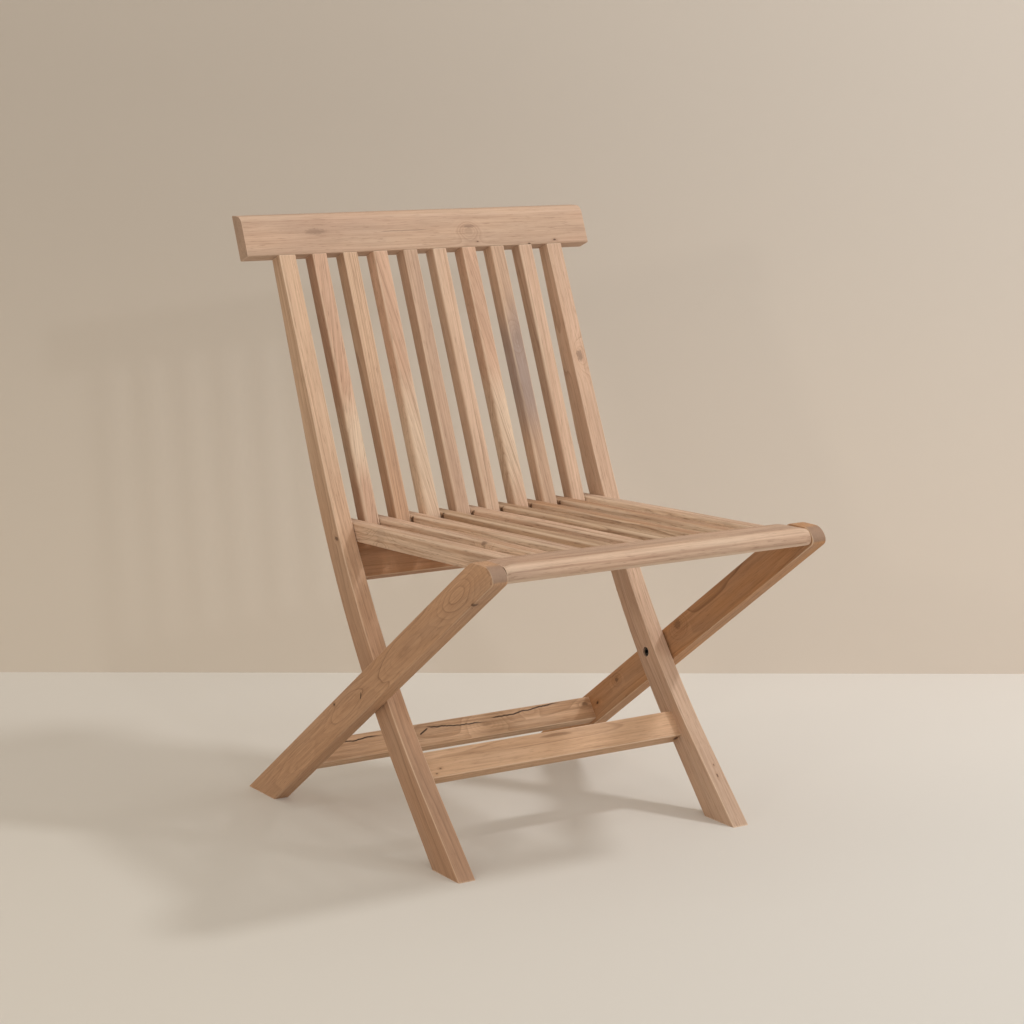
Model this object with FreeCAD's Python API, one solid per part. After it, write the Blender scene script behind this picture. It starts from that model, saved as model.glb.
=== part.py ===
import FreeCAD, Part
import math
import os

from FreeCAD import Vector

# Folding slatted chair in solid teak, standing open on its four feet.
# X is the chair's width, Y runs from the front to the back, Z is up.
# The origin is on the floor, under the middle of the open chair.
# The main pivots, where the legs cross, are above the origin.

# Widths, measured from the middle of the chair
inner_half = 217.5
long_leg_thickness = 27.0
leg_gap = 2.5
short_leg_thickness = 24.0
top_rail_half = 294.5

# Heights and reaches
total_height = 860.0
half_depth = 344.0
pivot_height = 215.0

# Curved long legs, which are the stiles of the back as well
back_lean = 22.0
foot_lean = 42.0
foot_flare = 1.5
bend_start_height = 100.0
bend_end_height = 520.0
stile_top_height = 800.0
leg_half_depth = 22.5
stile_top_half_depth = 12.2
stile_taper = 1.2

# Back panel
back_slat_count = 8
back_slat_width = 24.0
back_slat_depth = 24.5
rail_thickness = 25.0
top_rail_round = 17.0
lower_rail_bottom = 354.0
rail_planing = 6.0

# Short legs
short_leg_half_run = 42.0
seat_top_height = 452.0
leg_nose_y = -321.5
leg_nose_round = 24.0
leg_chin_round = 9.0
leg_shoulder_round = 26.0

# Seat, laid out from the seat pivot: u runs back, v is up
seat_pivot_y = -318.0
seat_pivot_z = 438.5
seat_slope = 2.2
rail_front = -24.8
rail_back = 36.0
rail_top = 13.2
rail_bottom = -11.3
rail_nose_round = 15.0
rail_chin_round = 9.0
seat_slat_width = 25.0
seat_slat_thickness = 26.5
seat_slat_end = 480.0
seat_rest_gap = 0.3
batten_front = 397.0
batten_depth = 19.0
batten_thickness = 11.0
batten_end_gap = 10.0

# Stretchers
stretcher_thickness = 22.0
front_stretcher_height = 41.0
front_stretcher_y = -70.0
front_stretcher_z = 116.4
rear_stretcher_height = 37.0
rear_stretcher_reach = 233.0

# Joints and hardware
tenon_thickness = 11.0
tenon_length = 18.0
tenon_shoulder = 6.0
slat_shoulder = 4.0
stile_tenon_length = 30.0
edge_ease = 2.0
back_slat_ease = 4.2
seat_slat_ease = 3.2
bolt_radius = 4.0
bolt_head_radius = 6.5
bolt_head_height = 7.5
bolt_head_ease = 0.8
bolt_socket_width = 6.0
bolt_socket_depth = 4.0
counterbore_radius = 7.3
counterbore_depth = 9.5
running_clearance = 0.05
sliding_gap = 0.2
washer_radius = 12.0
insert_radius = 6.0
insert_length = 17.0
pin_length = 42.0
pin_leg_depth = 16.0
rail_end_gap = 0.6
screw_radius = 2.0
screw_head_radius = 4.0
screw_head_height = 2.6
screw_length = 22.0
screwed_slats = (0, 4, 8)

# Values worked out from the dimensions above
long_leg_outer = inner_half + long_leg_thickness
short_leg_inner = long_leg_outer + leg_gap
slat_pitch = (2 * inner_half + back_slat_width) / (back_slat_count + 1)
seat_slat_count = back_slat_count + 1
short_leg_slope = (half_depth - short_leg_half_run) / pivot_height
short_leg_angle = math.degrees(math.atan(short_leg_slope))


def sine(degrees):
    return math.sin(math.radians(degrees))


def cosine(degrees):
    return math.cos(math.radians(degrees))


# The bend is one large arc between two straight stretches
bend_radius = (bend_end_height - bend_start_height) / (sine(foot_lean) - sine(back_lean))
pivot_lean = math.degrees(math.asin(sine(foot_lean) - (pivot_height - bend_start_height) / bend_radius))
bend_centre_y = -bend_radius * cosine(pivot_lean)
bend_start_y = bend_centre_y + bend_radius * cosine(foot_lean)
bend_end_y = bend_centre_y + bend_radius * cosine(back_lean)


def leg_centre(height):
    """Middle of the long leg at a height, with its lean there."""
    if height <= bend_start_height:
        lean = foot_lean
        y = bend_start_y + (height - bend_start_height) * math.tan(math.radians(lean))
    elif height >= bend_end_height:
        lean = back_lean
        y = bend_end_y + (height - bend_end_height) * math.tan(math.radians(lean))
    else:
        lean = math.degrees(math.asin(sine(foot_lean) - (height - bend_start_height) / bend_radius))
        y = bend_centre_y + bend_radius * cosine(lean)
    return y, lean


def panel_y(height):
    """The straight back panel's middle plane, in line with the stiles' tops."""
    return bend_end_y + (height - bend_end_height) * math.tan(math.radians(back_lean))


def corner_arc(before, corner, after, radius):
    """Start, middle and end of the arc that rounds a corner."""
    back = (before - corner).normalize()
    ahead = (after - corner).normalize()
    half_angle = back.getAngle(ahead) / 2
    reach = radius / math.tan(half_angle)
    inward = (back + ahead).normalize()
    middle = corner + inward * (radius / math.sin(half_angle) - radius)
    return corner + back * reach, middle, corner + ahead * reach


def rounded_wire(corners):
    """Closed outline in the YZ plane from (y, z, corner radius) points."""
    count = len(corners)
    points = [Vector(0, y, z) for y, z, radius in corners]
    arcs = []
    for index in range(count):
        following = points[(index + 1) % count]
        arcs.append(corner_arc(points[index - 1], points[index], following, corners[index][2]))
    edges = []
    for index in range(count):
        start, middle, end = arcs[index]
        if corners[index][2] > 0:
            edges.append(Part.Arc(start, middle, end).toShape())
        edges.append(Part.makeLine(end, arcs[(index + 1) % count][0]))
    return Part.Wire(edges)


def prism(corners, low_x, high_x):
    """Board cut to an outline, between two places across the chair."""
    solid = Part.Face(rounded_wire(corners)).extrude(Vector(high_x - low_x, 0, 0))
    solid.translate(Vector(low_x, 0, 0))
    return solid


def is_leg_edge(edge):
    """True for the long leg's edges that run from the foot to the top, and not for those across it."""
    return edge.Length > 2 * leg_half_depth / cosine(foot_lean) + long_leg_thickness


def is_board_edge(edge, direction):
    """True for a straight long edge along a direction, and not a short one across it."""
    along = edge.tangentAt(edge.FirstParameter)
    return abs(along.dot(direction)) > 0.999 and edge.Length > 8 * edge_ease


def ease_edges(solid, direction, ease=edge_ease):
    """Sand the long edges that run in one direction."""
    return solid.makeFillet(ease, [edge for edge in solid.Edges if is_board_edge(edge, direction)])


def stick(width, depth, length):
    """Upright square stick with well rounded edges, its foot at the origin."""
    solid = Part.makeBox(width, depth, length, Vector(-width / 2, -depth / 2, 0))
    return ease_edges(solid, Vector(0, 0, 1), back_slat_ease)


def crosspiece(length, depth, height):
    """Board along X with sanded edges, its lower face at the origin."""
    solid = Part.makeBox(length, depth, height, Vector(-length / 2, -depth / 2, 0))
    return ease_edges(solid, Vector(1, 0, 0))


def tip(solid, lean, y, z):
    """Lean a piece back about X and carry it to its place."""
    placed = solid.copy()
    placed.rotate(Vector(0, 0, 0), Vector(1, 0, 0), -lean)
    placed.translate(Vector(0, y, z))
    return placed


def end_tenons(length, height):
    """Tenon bar through a crosspiece, standing out at both of its ends."""
    bar_length = length + 2 * tenon_length
    corner = Vector(-bar_length / 2, -tenon_thickness / 2, tenon_shoulder)
    return Part.makeBox(bar_length, tenon_thickness, height, corner)


def in_seat(solid):
    """Carry a piece from the seat's own layout to its place on the chair."""
    placed = solid.copy()
    placed.rotate(Vector(0, 0, 0), Vector(1, 0, 0), -seat_slope)
    placed.translate(Vector(0, seat_pivot_y, seat_pivot_z))
    return placed


def mirrored(solid):
    return solid.mirror(Vector(0, 0, 0), Vector(1, 0, 0))


# Long leg: a straight foot and a tapered stile, joined by one large arc along each edge
def leg_edge(side):
    """Foot, bend and top of the leg's front (-1) or rear (1) edge, as (y, z, corner radius)."""
    start_y, start_z = bend_start_y, bend_start_height
    start_y += side * leg_half_depth * cosine(foot_lean)
    start_z -= side * leg_half_depth * sine(foot_lean)
    top_y = panel_y(stile_top_height) + side * stile_top_half_depth * cosine(back_lean)
    top_z = stile_top_height - side * stile_top_half_depth * sine(back_lean)
    foot_run = math.tan(math.radians(foot_lean - side * foot_flare))
    stile_run = math.tan(math.radians(back_lean - side * stile_taper))
    foot_y = start_y - start_z * foot_run
    bend_z = (top_y - top_z * stile_run - foot_y) / (foot_run - stile_run)
    bend_y = foot_y + bend_z * foot_run
    return [(foot_y, 0, 0), (bend_y, bend_z, bend_radius + side * leg_half_depth), (top_y, top_z, 0)]


def make_long_leg():
    outline = leg_edge(-1) + leg_edge(1)[::-1]
    leg = prism(outline, inner_half, long_leg_outer)
    leg = leg.makeFillet(edge_ease, [edge for edge in leg.Edges if is_leg_edge(edge)])
    half_tenon = stile_top_half_depth - slat_shoulder
    corner = Vector(-tenon_thickness / 2, -half_tenon, -slat_shoulder)
    tenon = Part.makeBox(tenon_thickness, 2 * half_tenon, stile_tenon_length + slat_shoulder, corner)
    tenon = tip(tenon, back_lean, panel_y(stile_top_height), stile_top_height)
    tenon.translate(Vector(inner_half + long_leg_thickness / 2, 0, 0))
    leg = leg.fuse(tenon).removeSplitter()
    across = Vector(1, 0, 0)
    pivot = Vector(inner_half, 0, pivot_height)
    bore = Part.makeCylinder(bolt_radius + running_clearance, long_leg_thickness, pivot, across)
    counterbore = Part.makeCylinder(counterbore_radius, counterbore_depth, pivot, across)
    return leg.cut(bore).cut(counterbore)


# Top rail: level top with a broad round along its front edge
def make_top_rail():
    half_run = rail_thickness / 2 / cosine(back_lean)
    drop = rail_thickness / 2 * sine(back_lean)
    step = rail_thickness / 2 * cosine(back_lean)
    bottom_y = panel_y(stile_top_height)
    top_y = panel_y(total_height)
    corners = [
        (bottom_y - step, stile_top_height + drop, edge_ease),
        (top_y - half_run, total_height, top_rail_round),
        (top_y + half_run, total_height, edge_ease),
        (bottom_y + step, stile_top_height - drop, edge_ease),
    ]
    return prism(corners, -top_rail_half, top_rail_half)


def make_back_slat(x):
    low = lower_rail_bottom + lower_rail_height() * cosine(back_lean) - slat_shoulder
    length = (stile_top_height - low) / cosine(back_lean)
    slat = stick(back_slat_width, back_slat_depth, length)
    tenon_width = back_slat_width - 2 * slat_shoulder
    tenon = Part.makeBox(tenon_width, tenon_thickness, length + 2 * tenon_length)
    tenon.translate(Vector(-tenon_width / 2, -tenon_thickness / 2, -tenon_length))
    slat = slat.fuse(tenon).removeSplitter()
    slat = tip(slat, back_lean, panel_y(low), low)
    slat.translate(Vector(x, 0, 0))
    return slat


def lower_rail_height():
    """Height of the rail along the lean of the back, before its top is planed to fit the seat."""
    seat_drop = (panel_y(lower_rail_bottom) - seat_pivot_y) * math.tan(math.radians(seat_slope))
    underside = seat_pivot_z + rail_top - seat_slat_thickness - seat_drop
    return (underside - lower_rail_bottom) / cosine(back_lean) + rail_planing


def make_lower_rail():
    height = lower_rail_height()
    length = 2 * inner_half
    rail = crosspiece(length, rail_thickness, height)
    rail = rail.fuse(end_tenons(length, height - rail_planing - 2 * tenon_shoulder)).removeSplitter()
    return tip(rail, back_lean, panel_y(lower_rail_bottom), lower_rail_bottom)


def seat_clearance():
    """Space over the seat's underside, from the front rail to the slats' ends."""
    low = rail_top - seat_slat_thickness - seat_rest_gap
    half = inner_half + tenon_length
    return in_seat(Part.makeBox(2 * half, seat_slat_end - rail_back, half, Vector(-half, rail_back, low)))


def make_front_stretcher():
    length = 2 * inner_half
    bar = crosspiece(length, stretcher_thickness, front_stretcher_height)
    bar = bar.fuse(end_tenons(length, front_stretcher_height - 2 * tenon_shoulder)).removeSplitter()
    bar.translate(Vector(0, 0, -front_stretcher_height / 2))
    lean = leg_centre(front_stretcher_z)[1]
    return tip(bar, lean, front_stretcher_y, front_stretcher_z)


# Short leg: straight board whose top has a soft shoulder, a round nose and a tighter chin
def make_short_leg():
    along = Vector(0, -short_leg_slope, 1).normalize()
    outward = Vector(0, -1, -short_leg_slope).normalize()
    upper_foot = Vector(0, half_depth, 0)
    lower_foot = Vector(0, half_depth - 2 * short_leg_half_run, 0)
    shoulder_y = half_depth - short_leg_slope * seat_top_height
    shoulder = Vector(0, shoulder_y, seat_top_height)

    nose = Vector(0, leg_nose_y, seat_top_height - leg_nose_round)
    nose_top = Vector(0, leg_nose_y, seat_top_height)
    inset = (lower_foot - nose).dot(outward) - leg_chin_round
    spread = leg_nose_round - leg_chin_round
    chin_offset = outward * inset + along * math.sqrt(spread ** 2 - inset ** 2)
    chin = nose + chin_offset
    nose_end = nose + Vector(chin_offset).normalize() * leg_nose_round
    nose_middle = nose + (nose_top + nose_end - nose * 2).normalize() * leg_nose_round
    chin_end = chin + outward * leg_chin_round
    chin_middle = chin + (nose_end + chin_end - chin * 2).normalize() * leg_chin_round

    bend_start, bend_middle, bend_end = corner_arc(upper_foot, shoulder, nose_top, leg_shoulder_round)
    outline = Part.Wire([
        Part.makeLine(lower_foot, upper_foot),
        Part.makeLine(upper_foot, bend_start),
        Part.Arc(bend_start, bend_middle, bend_end).toShape(),
        Part.makeLine(bend_end, nose_top),
        Part.Arc(nose_top, nose_middle, nose_end).toShape(),
        Part.Arc(nose_end, chin_middle, chin_end).toShape(),
        Part.makeLine(chin_end, lower_foot),
    ])
    leg = Part.Face(outline).extrude(Vector(short_leg_thickness, 0, 0))
    leg.translate(Vector(short_leg_inner, 0, 0))
    leg = leg.makeFillet(edge_ease, [edge for edge in leg.Edges if is_board_edge(edge, along)])

    across = Vector(1, 0, 0)
    pivot = Vector(short_leg_inner, 0, pivot_height)
    seat_pivot = Vector(short_leg_inner, seat_pivot_y, seat_pivot_z)
    insert_hole = Part.makeCylinder(insert_radius, insert_length, pivot, across)
    pin_hole = Part.makeCylinder(bolt_radius, pin_leg_depth, seat_pivot, across)
    return leg.cut(insert_hole).cut(pin_hole)


# Rear stretcher: set square to the short legs, across their middle
def make_rear_stretcher():
    length = 2 * short_leg_inner
    bar = crosspiece(length, stretcher_thickness, rear_stretcher_height)
    bar = bar.fuse(end_tenons(length, rear_stretcher_height - 2 * tenon_shoulder)).removeSplitter()
    bar.translate(Vector(0, 0, -rear_stretcher_height / 2))
    y = rear_stretcher_reach * sine(short_leg_angle)
    z = pivot_height - rear_stretcher_reach * cosine(short_leg_angle)
    return tip(bar, 90 - short_leg_angle, y, z)


# Seat: bullnosed front rail, slats tenoned into it and a batten let into the undersides of their rear ends
def make_front_rail():
    corners = [
        (rail_front, rail_bottom, rail_chin_round),
        (rail_front, rail_top, rail_nose_round),
        (rail_back, rail_top, 0),
        (rail_back, rail_bottom, edge_ease),
    ]
    half = short_leg_inner - rail_end_gap
    rail = prism(corners, -half, half)
    for side in (-1, 1):
        bore_start = Vector(side * half, 0, 0)
        inward = Vector(-side, 0, 0)
        bore_length = pin_length - pin_leg_depth + rail_end_gap
        rail = rail.cut(Part.makeCylinder(bolt_radius + running_clearance, bore_length, bore_start, inward))
    return rail


def make_seat_slat(x):
    low = rail_top - seat_slat_thickness
    length = seat_slat_end - rail_back
    slat = Part.makeBox(seat_slat_width, length, seat_slat_thickness)
    slat = ease_edges(slat, Vector(0, 1, 0), seat_slat_ease)
    rear_edges = []
    for edge in slat.Edges:
        if edge.BoundBox.YMin > length - 0.01 and edge.BoundBox.XLength > seat_slat_width / 2:
            rear_edges.append(edge)
    slat = slat.makeChamfer(edge_ease / 2, rear_edges)
    tenon = Part.makeBox(seat_slat_width - 2 * slat_shoulder, tenon_length + slat_shoulder, tenon_thickness)
    tenon.translate(Vector(slat_shoulder, -tenon_length, (seat_slat_thickness - tenon_thickness) / 2))
    slat = slat.fuse(tenon).removeSplitter()
    slat.translate(Vector(x - seat_slat_width / 2, rail_back, low))
    return slat


def make_seat_batten():
    half = inner_half - batten_end_gap
    low = rail_top - seat_slat_thickness
    return Part.makeBox(2 * half, batten_depth, batten_thickness, Vector(-half, batten_front, low))


def make_batten_screws(places):
    """Countersunk screws, up through the batten and into the slats."""
    low = rail_top - seat_slat_thickness
    screws = []
    for x in places:
        foot = Vector(x, batten_front + batten_depth / 2, low)
        head = Part.makeCone(screw_head_radius, screw_radius, screw_head_height, foot)
        shank = Part.makeCylinder(screw_radius, screw_length, foot)
        screws.append(head.fuse(shank).removeSplitter())
    return screws


# Pivot hardware for the +X side
def make_pivot_bolt():
    across = Vector(1, 0, 0)
    under_head = inner_half + counterbore_depth - sliding_gap
    head_top = under_head - bolt_head_height
    head = Part.makeCylinder(bolt_head_radius, bolt_head_height, Vector(head_top, 0, pivot_height), across)
    rim = [edge for edge in head.Edges if abs(edge.CenterOfMass.x - head_top) < 0.01]
    head = head.makeChamfer(bolt_head_ease, rim)
    shank_length = short_leg_inner + insert_length - under_head
    shank = Part.makeCylinder(bolt_radius, shank_length, Vector(under_head, 0, pivot_height), across)
    reach = bolt_socket_width / 2 / cosine(30)
    corners = []
    for step in range(6):
        corners.append((reach * cosine(60 * step), pivot_height + reach * sine(60 * step), 0))
    socket = prism(corners, head_top - bolt_head_ease, head_top + bolt_socket_depth)
    return head.fuse(shank).cut(socket).removeSplitter()


def make_threaded_insert():
    across = Vector(1, 0, 0)
    mouth = Vector(short_leg_inner, 0, pivot_height)
    sleeve = Part.makeCylinder(insert_radius, insert_length, mouth, across)
    return sleeve.cut(Part.makeCylinder(bolt_radius, insert_length, mouth, across))


def make_leg_washer():
    across = Vector(1, 0, 0)
    face = Vector(long_leg_outer + sliding_gap, 0, pivot_height)
    disc = Part.makeCylinder(washer_radius, leg_gap - sliding_gap, face, across)
    return disc.cut(Part.makeCylinder(bolt_radius + sliding_gap, leg_gap, face, across))


def make_seat_pin():
    across = Vector(1, 0, 0)
    start = Vector(short_leg_inner + pin_leg_depth - pin_length, seat_pivot_y, seat_pivot_z)
    return Part.makeCylinder(bolt_radius, pin_length, start, across)


def build():
    pieces = {}

    back_slats = []
    for index in range(back_slat_count):
        x = (index - (back_slat_count - 1) / 2) * slat_pitch
        slat = make_back_slat(x)
        back_slats.append(slat)
        pieces["back_slat_%d" % (index + 1)] = slat

    right_leg = make_long_leg()
    top_rail = make_top_rail()
    lower_rail = make_lower_rail().cut(seat_clearance())
    front_stretcher = make_front_stretcher()
    for slat in back_slats:
        top_rail = top_rail.cut(slat)
        lower_rail = lower_rail.cut(slat)
    top_rail = top_rail.cut(right_leg).cut(mirrored(right_leg))
    right_leg = right_leg.cut(lower_rail).cut(front_stretcher)
    pieces["top_rail"] = top_rail
    pieces["lower_back_rail"] = lower_rail
    pieces["front_stretcher"] = front_stretcher
    pieces["right_long_leg"] = right_leg
    pieces["left_long_leg"] = mirrored(right_leg)

    rear_stretcher = make_rear_stretcher()
    right_short_leg = make_short_leg().cut(rear_stretcher)
    pieces["rear_stretcher"] = rear_stretcher
    pieces["right_short_leg"] = right_short_leg
    pieces["left_short_leg"] = mirrored(right_short_leg)

    places = [(index - back_slat_count / 2) * slat_pitch for index in range(seat_slat_count)]
    screws = Part.makeCompound(make_batten_screws([places[index] for index in screwed_slats]))
    front_rail = make_front_rail()
    batten = make_seat_batten()
    for index, x in enumerate(places):
        slat = make_seat_slat(x)
        front_rail = front_rail.cut(slat)
        slat = slat.cut(batten)
        if index in screwed_slats:
            slat = slat.cut(screws)
        pieces["seat_slat_%d" % (index + 1)] = in_seat(slat)
    pieces["seat_front_rail"] = in_seat(front_rail)
    pieces["seat_batten"] = in_seat(batten.cut(screws))
    pieces["seat_batten_screws"] = in_seat(screws)

    hardware = {
        "pivot_bolt": make_pivot_bolt(),
        "threaded_insert": make_threaded_insert(),
        "leg_washer": make_leg_washer(),
        "seat_pin": make_seat_pin(),
    }
    for name, solid in hardware.items():
        pieces["right_" + name] = solid
        pieces["left_" + name] = mirrored(solid)
    return pieces


os.makedirs("parts", exist_ok=True)
for name, shape in build().items():
    shape.exportStep("parts/%s.step" % name)
    box = shape.optimalBoundingBox()
    sizes = [round(size, 1) for size in (box.XLength, box.YLength, box.ZLength)]
    print(name, len(shape.Solids), "solids,", "sizes in mm", sizes)
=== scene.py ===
import math
import bpy
from mathutils import Matrix, Vector
from mathutils import noise as drift


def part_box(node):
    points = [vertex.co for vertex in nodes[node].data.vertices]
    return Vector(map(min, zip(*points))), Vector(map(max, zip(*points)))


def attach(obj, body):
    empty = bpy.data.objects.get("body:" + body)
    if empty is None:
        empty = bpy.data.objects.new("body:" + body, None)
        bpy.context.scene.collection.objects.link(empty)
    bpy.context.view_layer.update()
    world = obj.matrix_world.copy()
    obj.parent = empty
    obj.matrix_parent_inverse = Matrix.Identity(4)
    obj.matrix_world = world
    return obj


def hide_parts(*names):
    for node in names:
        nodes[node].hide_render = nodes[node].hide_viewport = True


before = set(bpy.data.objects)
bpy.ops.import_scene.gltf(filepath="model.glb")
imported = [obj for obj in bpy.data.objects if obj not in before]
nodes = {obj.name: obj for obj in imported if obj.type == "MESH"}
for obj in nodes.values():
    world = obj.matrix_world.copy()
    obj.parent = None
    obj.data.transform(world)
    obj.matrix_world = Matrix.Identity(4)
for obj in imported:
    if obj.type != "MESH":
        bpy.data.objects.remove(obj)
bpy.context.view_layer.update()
scene = bpy.context.scene
scene.view_settings.view_transform = "Standard"
print("frame loaded:", len(nodes), "nodes")


# colours are written as on a colour chart and turned into light values here
def colour(code):
    parts = [int(code[i:i + 2], 16) / 255 for i in (1, 3, 5)]
    light = [p / 12.92 if p <= 0.04045 else ((p + 0.055) / 1.055) ** 2.4 for p in parts]
    return (*light, 1.0)


# small helpers for shader nodes
def addNode(tree, kind, inputs=None, **settings):
    node = tree.nodes.new("ShaderNode" + kind)
    for key, value in settings.items():
        setattr(node, key, value)
    for key, value in (inputs or {}).items():
        if isinstance(value, bpy.types.NodeSocket):
            tree.links.new(value, node.inputs[key])
        else:
            node.inputs[key].default_value = value
    return node


def reckon(tree, operation, *values):
    node = addNode(tree, "Math", dict(enumerate(values)), operation=operation)
    return node.outputs[0]


def reckonVector(tree, operation, *values):
    node = addNode(tree, "VectorMath", dict(enumerate(values)), operation=operation)
    return node.outputs["Value" if operation in ("LENGTH", "DOT_PRODUCT") else "Vector"]


def easeBetween(tree, value, low, high, start=0.0, end=1.0):
    span = {"Value": value, "From Min": low, "From Max": high, "To Min": start, "To Max": end}
    return addNode(tree, "MapRange", span, interpolation_type="SMOOTHSTEP").outputs["Result"]


def mixColours(tree, share, under, over):
    node = addNode(tree, "Mix", {0: share, 6: under, 7: over}, data_type="RGBA")
    return node.outputs[2]


def noise(tree, vector, repeats, detail=2.0, roughness=0.5, output="Fac"):
    stretched = reckonVector(tree, "MULTIPLY", vector, repeats)
    settings = {"Vector": stretched, "Scale": 1.0, "Detail": detail, "Roughness": roughness}
    return addNode(tree, "TexNoise", settings).outputs[output]


def startGroup(name, inputs, outputs, kind="Float"):
    tree = bpy.data.node_groups.new(name, "ShaderNodeTree")
    for label, taken, value in inputs:
        socket = tree.interface.new_socket(name=label, in_out="INPUT", socket_type="NodeSocket" + taken)
        socket.default_value = value
    for label in outputs:
        tree.interface.new_socket(name=label, in_out="OUTPUT", socket_type="NodeSocket" + kind)
    return tree, tree.nodes.new("NodeGroupInput").outputs, tree.nodes.new("NodeGroupOutput").inputs


def useGroup(tree, group, inputs):
    return addNode(tree, "Group", inputs, node_tree=group).outputs


def seeded(tree, given):  # each board is cut from another place in the pattern
    seed = given["Seed"]
    shift = addNode(tree, "CombineXYZ", {"X": seed, "Y": seed, "Z": seed}).outputs[0]
    return reckonVector(tree, "ADD", given["Vector"], shift)


# growth rings: distance from a heart line that lies beside the board, with a slow wander
origin = (0.0, 0.0, 0.0)
ringLook = {"slow": (1.7, 9.0, 9.0), "waver": (6.0, 38.0, 38.0), "waverShare": 0.9,
            "uneven": (0.45, 1.0, 1.0), "unevenShare": 3.0, "lateFrom": 0.1, "lineFrom": 0.72, "fullAt": 0.93}
growthRings, given, result = startGroup(
    "growthRings",
    [("Vector", "Vector", origin), ("Heart Across", "Float", 0.02), ("Heart Depth", "Float", 0.08),
     ("Ring Width", "Float", 0.0045), ("Wander", "Float", 0.012), ("Seed", "Float", 0.0),
     ("Lift", "Float", 0.0)],
    ["Late", "Line", "Year"])
tree = growthRings
place = seeded(tree, given)
slow = noise(tree, place, ringLook["slow"], roughness=0.45, output="Color")
slow = reckonVector(tree, "SUBTRACT", slow, (0.5, 0.5, 0.5))
scaled = addNode(tree, "VectorMath", {0: slow, 3: given["Wander"]}, operation="SCALE").outputs["Vector"]
moved = reckonVector(tree, "ADD", given["Vector"], scaled)
parts = addNode(tree, "SeparateXYZ", {0: moved}).outputs
across = reckon(tree, "SUBTRACT", parts["Y"], given["Heart Across"])
depth = reckon(tree, "SUBTRACT", parts["Z"], given["Heart Depth"])
radius = reckonVector(tree, "LENGTH", addNode(tree, "CombineXYZ", {"Y": across, "Z": depth}).outputs[0])
years = reckon(tree, "DIVIDE", radius, given["Ring Width"])
yearPlace = addNode(tree, "CombineXYZ", {"X": years, "Y": given["Seed"]}).outputs[0]
uneven = noise(tree, yearPlace, ringLook["uneven"], detail=1.0)
waver = noise(tree, place, ringLook["waver"])
phase = reckon(tree, "MULTIPLY_ADD", waver, ringLook["waverShare"], years)
phase = reckon(tree, "MULTIPLY_ADD", uneven, ringLook["unevenShare"], phase)
phase = reckon(tree, "ADD", phase, given["Lift"])
within = reckon(tree, "FRACT", phase)
closing = easeBetween(tree, within, ringLook["fullAt"], 1.0)
for label, start in (("Late", ringLook["lateFrom"]), ("Line", ringLook["lineFrom"])):
    rising = easeBetween(tree, within, start, ringLook["fullAt"])
    tree.links.new(reckon(tree, "SUBTRACT", rising, closing), result[label])
yearNumber = reckon(tree, "ADD", reckon(tree, "FLOOR", phase), given["Seed"])
chance = addNode(tree, "TexWhiteNoise", {"W": yearNumber}, noise_dimensions="1D").outputs["Value"]
tree.links.new(chance, result["Year"])

# fibres: long streaks, fine hairs and open pores, all drawn out along the grain, and broad clouds of tone
fibreLayers = {  # how often each repeats in a metre, along and across the grain, and which part of it shows
    "Streaks": {"repeats": (4.0, 170.0, 170.0), "detail": 3.0, "roughness": 0.6, "shows": (0.38, 0.68)},
    "Hairs": {"repeats": (11.0, 430.0, 430.0), "detail": 3.0, "roughness": 0.65},
    "Pores": {"repeats": (42.0, 720.0, 720.0), "detail": 2.0, "roughness": 0.6, "shows": (0.56, 0.72)},
    "Clouds": {"repeats": (6.0, 30.0, 30.0), "detail": 3.0, "roughness": 0.5, "shows": (0.3, 0.7)},
    "Drift": {"repeats": (3.0, 12.0, 12.0), "detail": 2.0, "roughness": 0.5, "shows": (0.3, 0.7)},
}
woodFibres, given, result = startGroup(
    "woodFibres", [("Vector", "Vector", origin), ("Seed", "Float", 0.0)], list(fibreLayers))
tree = woodFibres
place = seeded(tree, given)
for label, layer in fibreLayers.items():
    value = noise(tree, place, layer["repeats"], layer["detail"], layer["roughness"])
    if "shows" in layer:
        value = easeBetween(tree, value, *layer["shows"])
    tree.links.new(value, result[label])

# a knot: it lifts the rings round itself and has a dark heart with a ragged edge. The same spot, without
# lift, also paints shade into the seat's corners
spotLook = {"through": 0.35, "fall": -0.3, "rags": (220.0, 420.0, 420.0), "ragged": 1.2,
            "core": (0.95, 0.35), "halo": (2.6, 0.6)}
knotAndShadeSpot, given, result = startGroup(
    "knotAndShadeSpot",
    [("Vector", "Vector", origin), ("Centre", "Vector", origin), ("Size", "Float", 0.006),
     ("Lift", "Float", 4.0), ("Stretch", "Float", 2.0)],
    ["Lift", "Core", "Halo"])
tree = knotAndShadeSpot
away = reckonVector(tree, "SUBTRACT", given["Vector"], given["Centre"])
lengthways = reckon(tree, "DIVIDE", 1.0, given["Stretch"])
squeeze = addNode(tree, "CombineXYZ", {"X": lengthways, "Y": 1.0, "Z": spotLook["through"]}).outputs[0]
smooth = reckonVector(tree, "LENGTH", reckonVector(tree, "MULTIPLY", away, squeeze))
far = reckon(tree, "DIVIDE", smooth, given["Size"])
bell = reckon(tree, "MULTIPLY", reckon(tree, "MULTIPLY", far, far), spotLook["fall"])
tree.links.new(reckon(tree, "MULTIPLY", reckon(tree, "EXPONENT", bell), given["Lift"]), result["Lift"])
rags = noise(tree, given["Vector"], spotLook["rags"], detail=3.0, roughness=0.6)
rags = reckon(tree, "MULTIPLY_ADD", rags, spotLook["ragged"], -spotLook["ragged"] / 2)
far = reckon(tree, "ADD", far, rags)
tree.links.new(easeBetween(tree, far, *spotLook["core"]), result["Core"])
tree.links.new(easeBetween(tree, far, *spotLook["halo"]), result["Halo"])

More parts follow.
